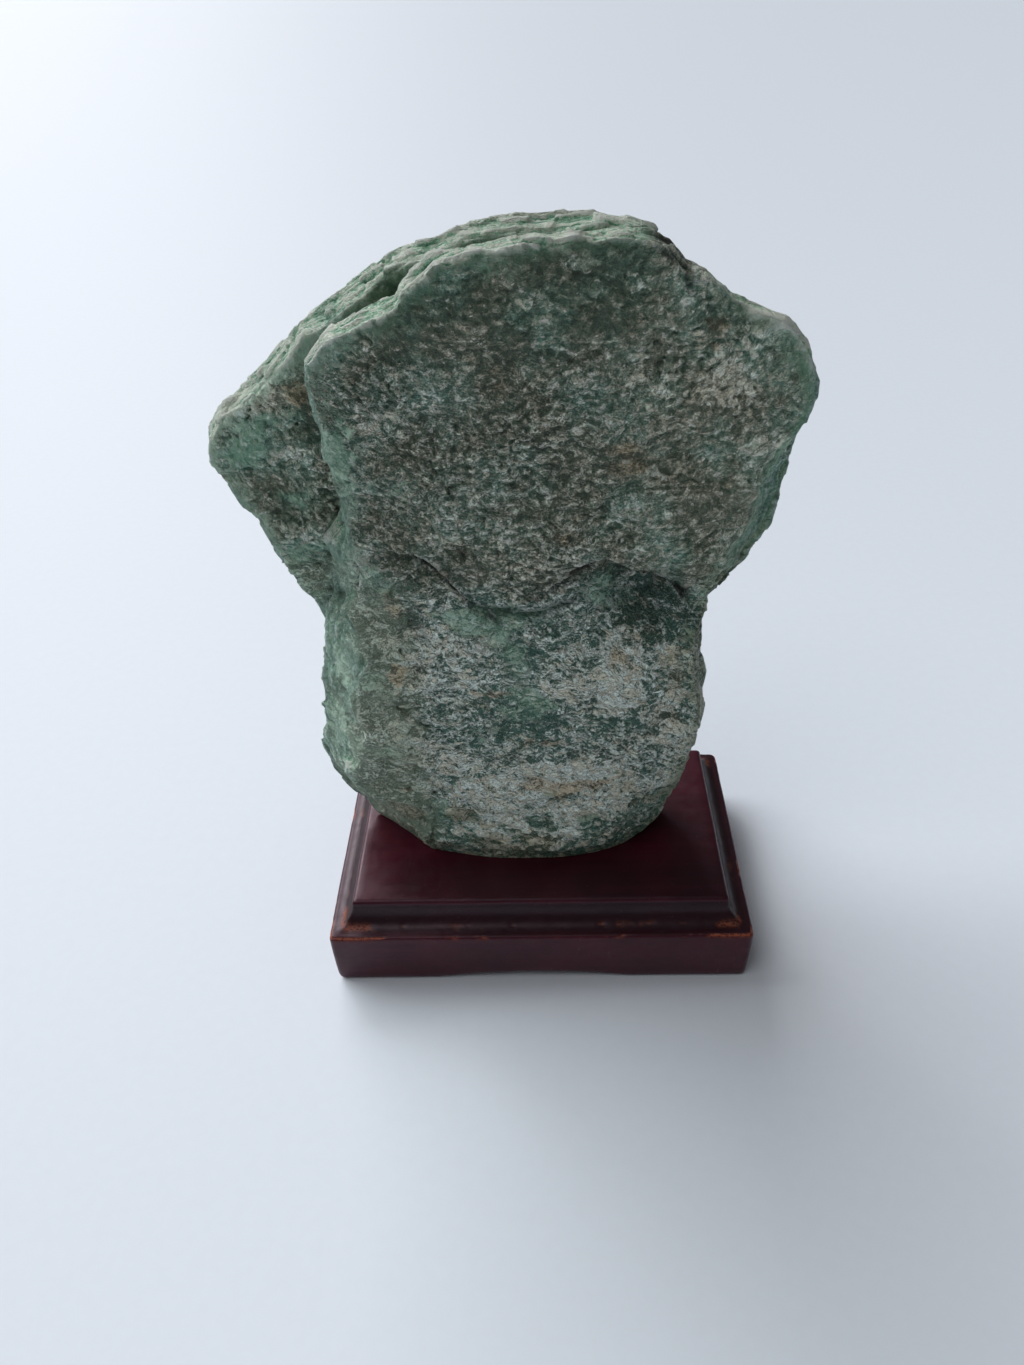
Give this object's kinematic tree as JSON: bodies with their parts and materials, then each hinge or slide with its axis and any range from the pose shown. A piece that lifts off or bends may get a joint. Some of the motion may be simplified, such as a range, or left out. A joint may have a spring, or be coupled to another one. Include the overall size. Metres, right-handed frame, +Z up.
{
  "type": "raw fuchsite on a wooden stand",
  "caption": "Upright slab of raw green fuchsite schist with split, layered edges, seated in the carved socket of a low moulded wooden stand, for display on a flat surface.",
  "frame": {"origin": "on the resting surface, under the middle of the whole object's bounding box", "axes": "+Z up, the stone's broad front face looks along -Y, +X to the right as seen from the front"},
  "size_m": [0.1164, 0.064, 0.1655],
  "materials": {
    "fuchsite": "raw split mica schist, pearly flakes, softly glinting",
    "lacquered_wood": "dark red-brown lacquer, satin, rubbed through at some edges"
  },
  "bodies": {
    "root": {"fuchsite_stone": "fuchsite", "wooden_stand": "lacquered_wood"}
  },
  "joints": []
}
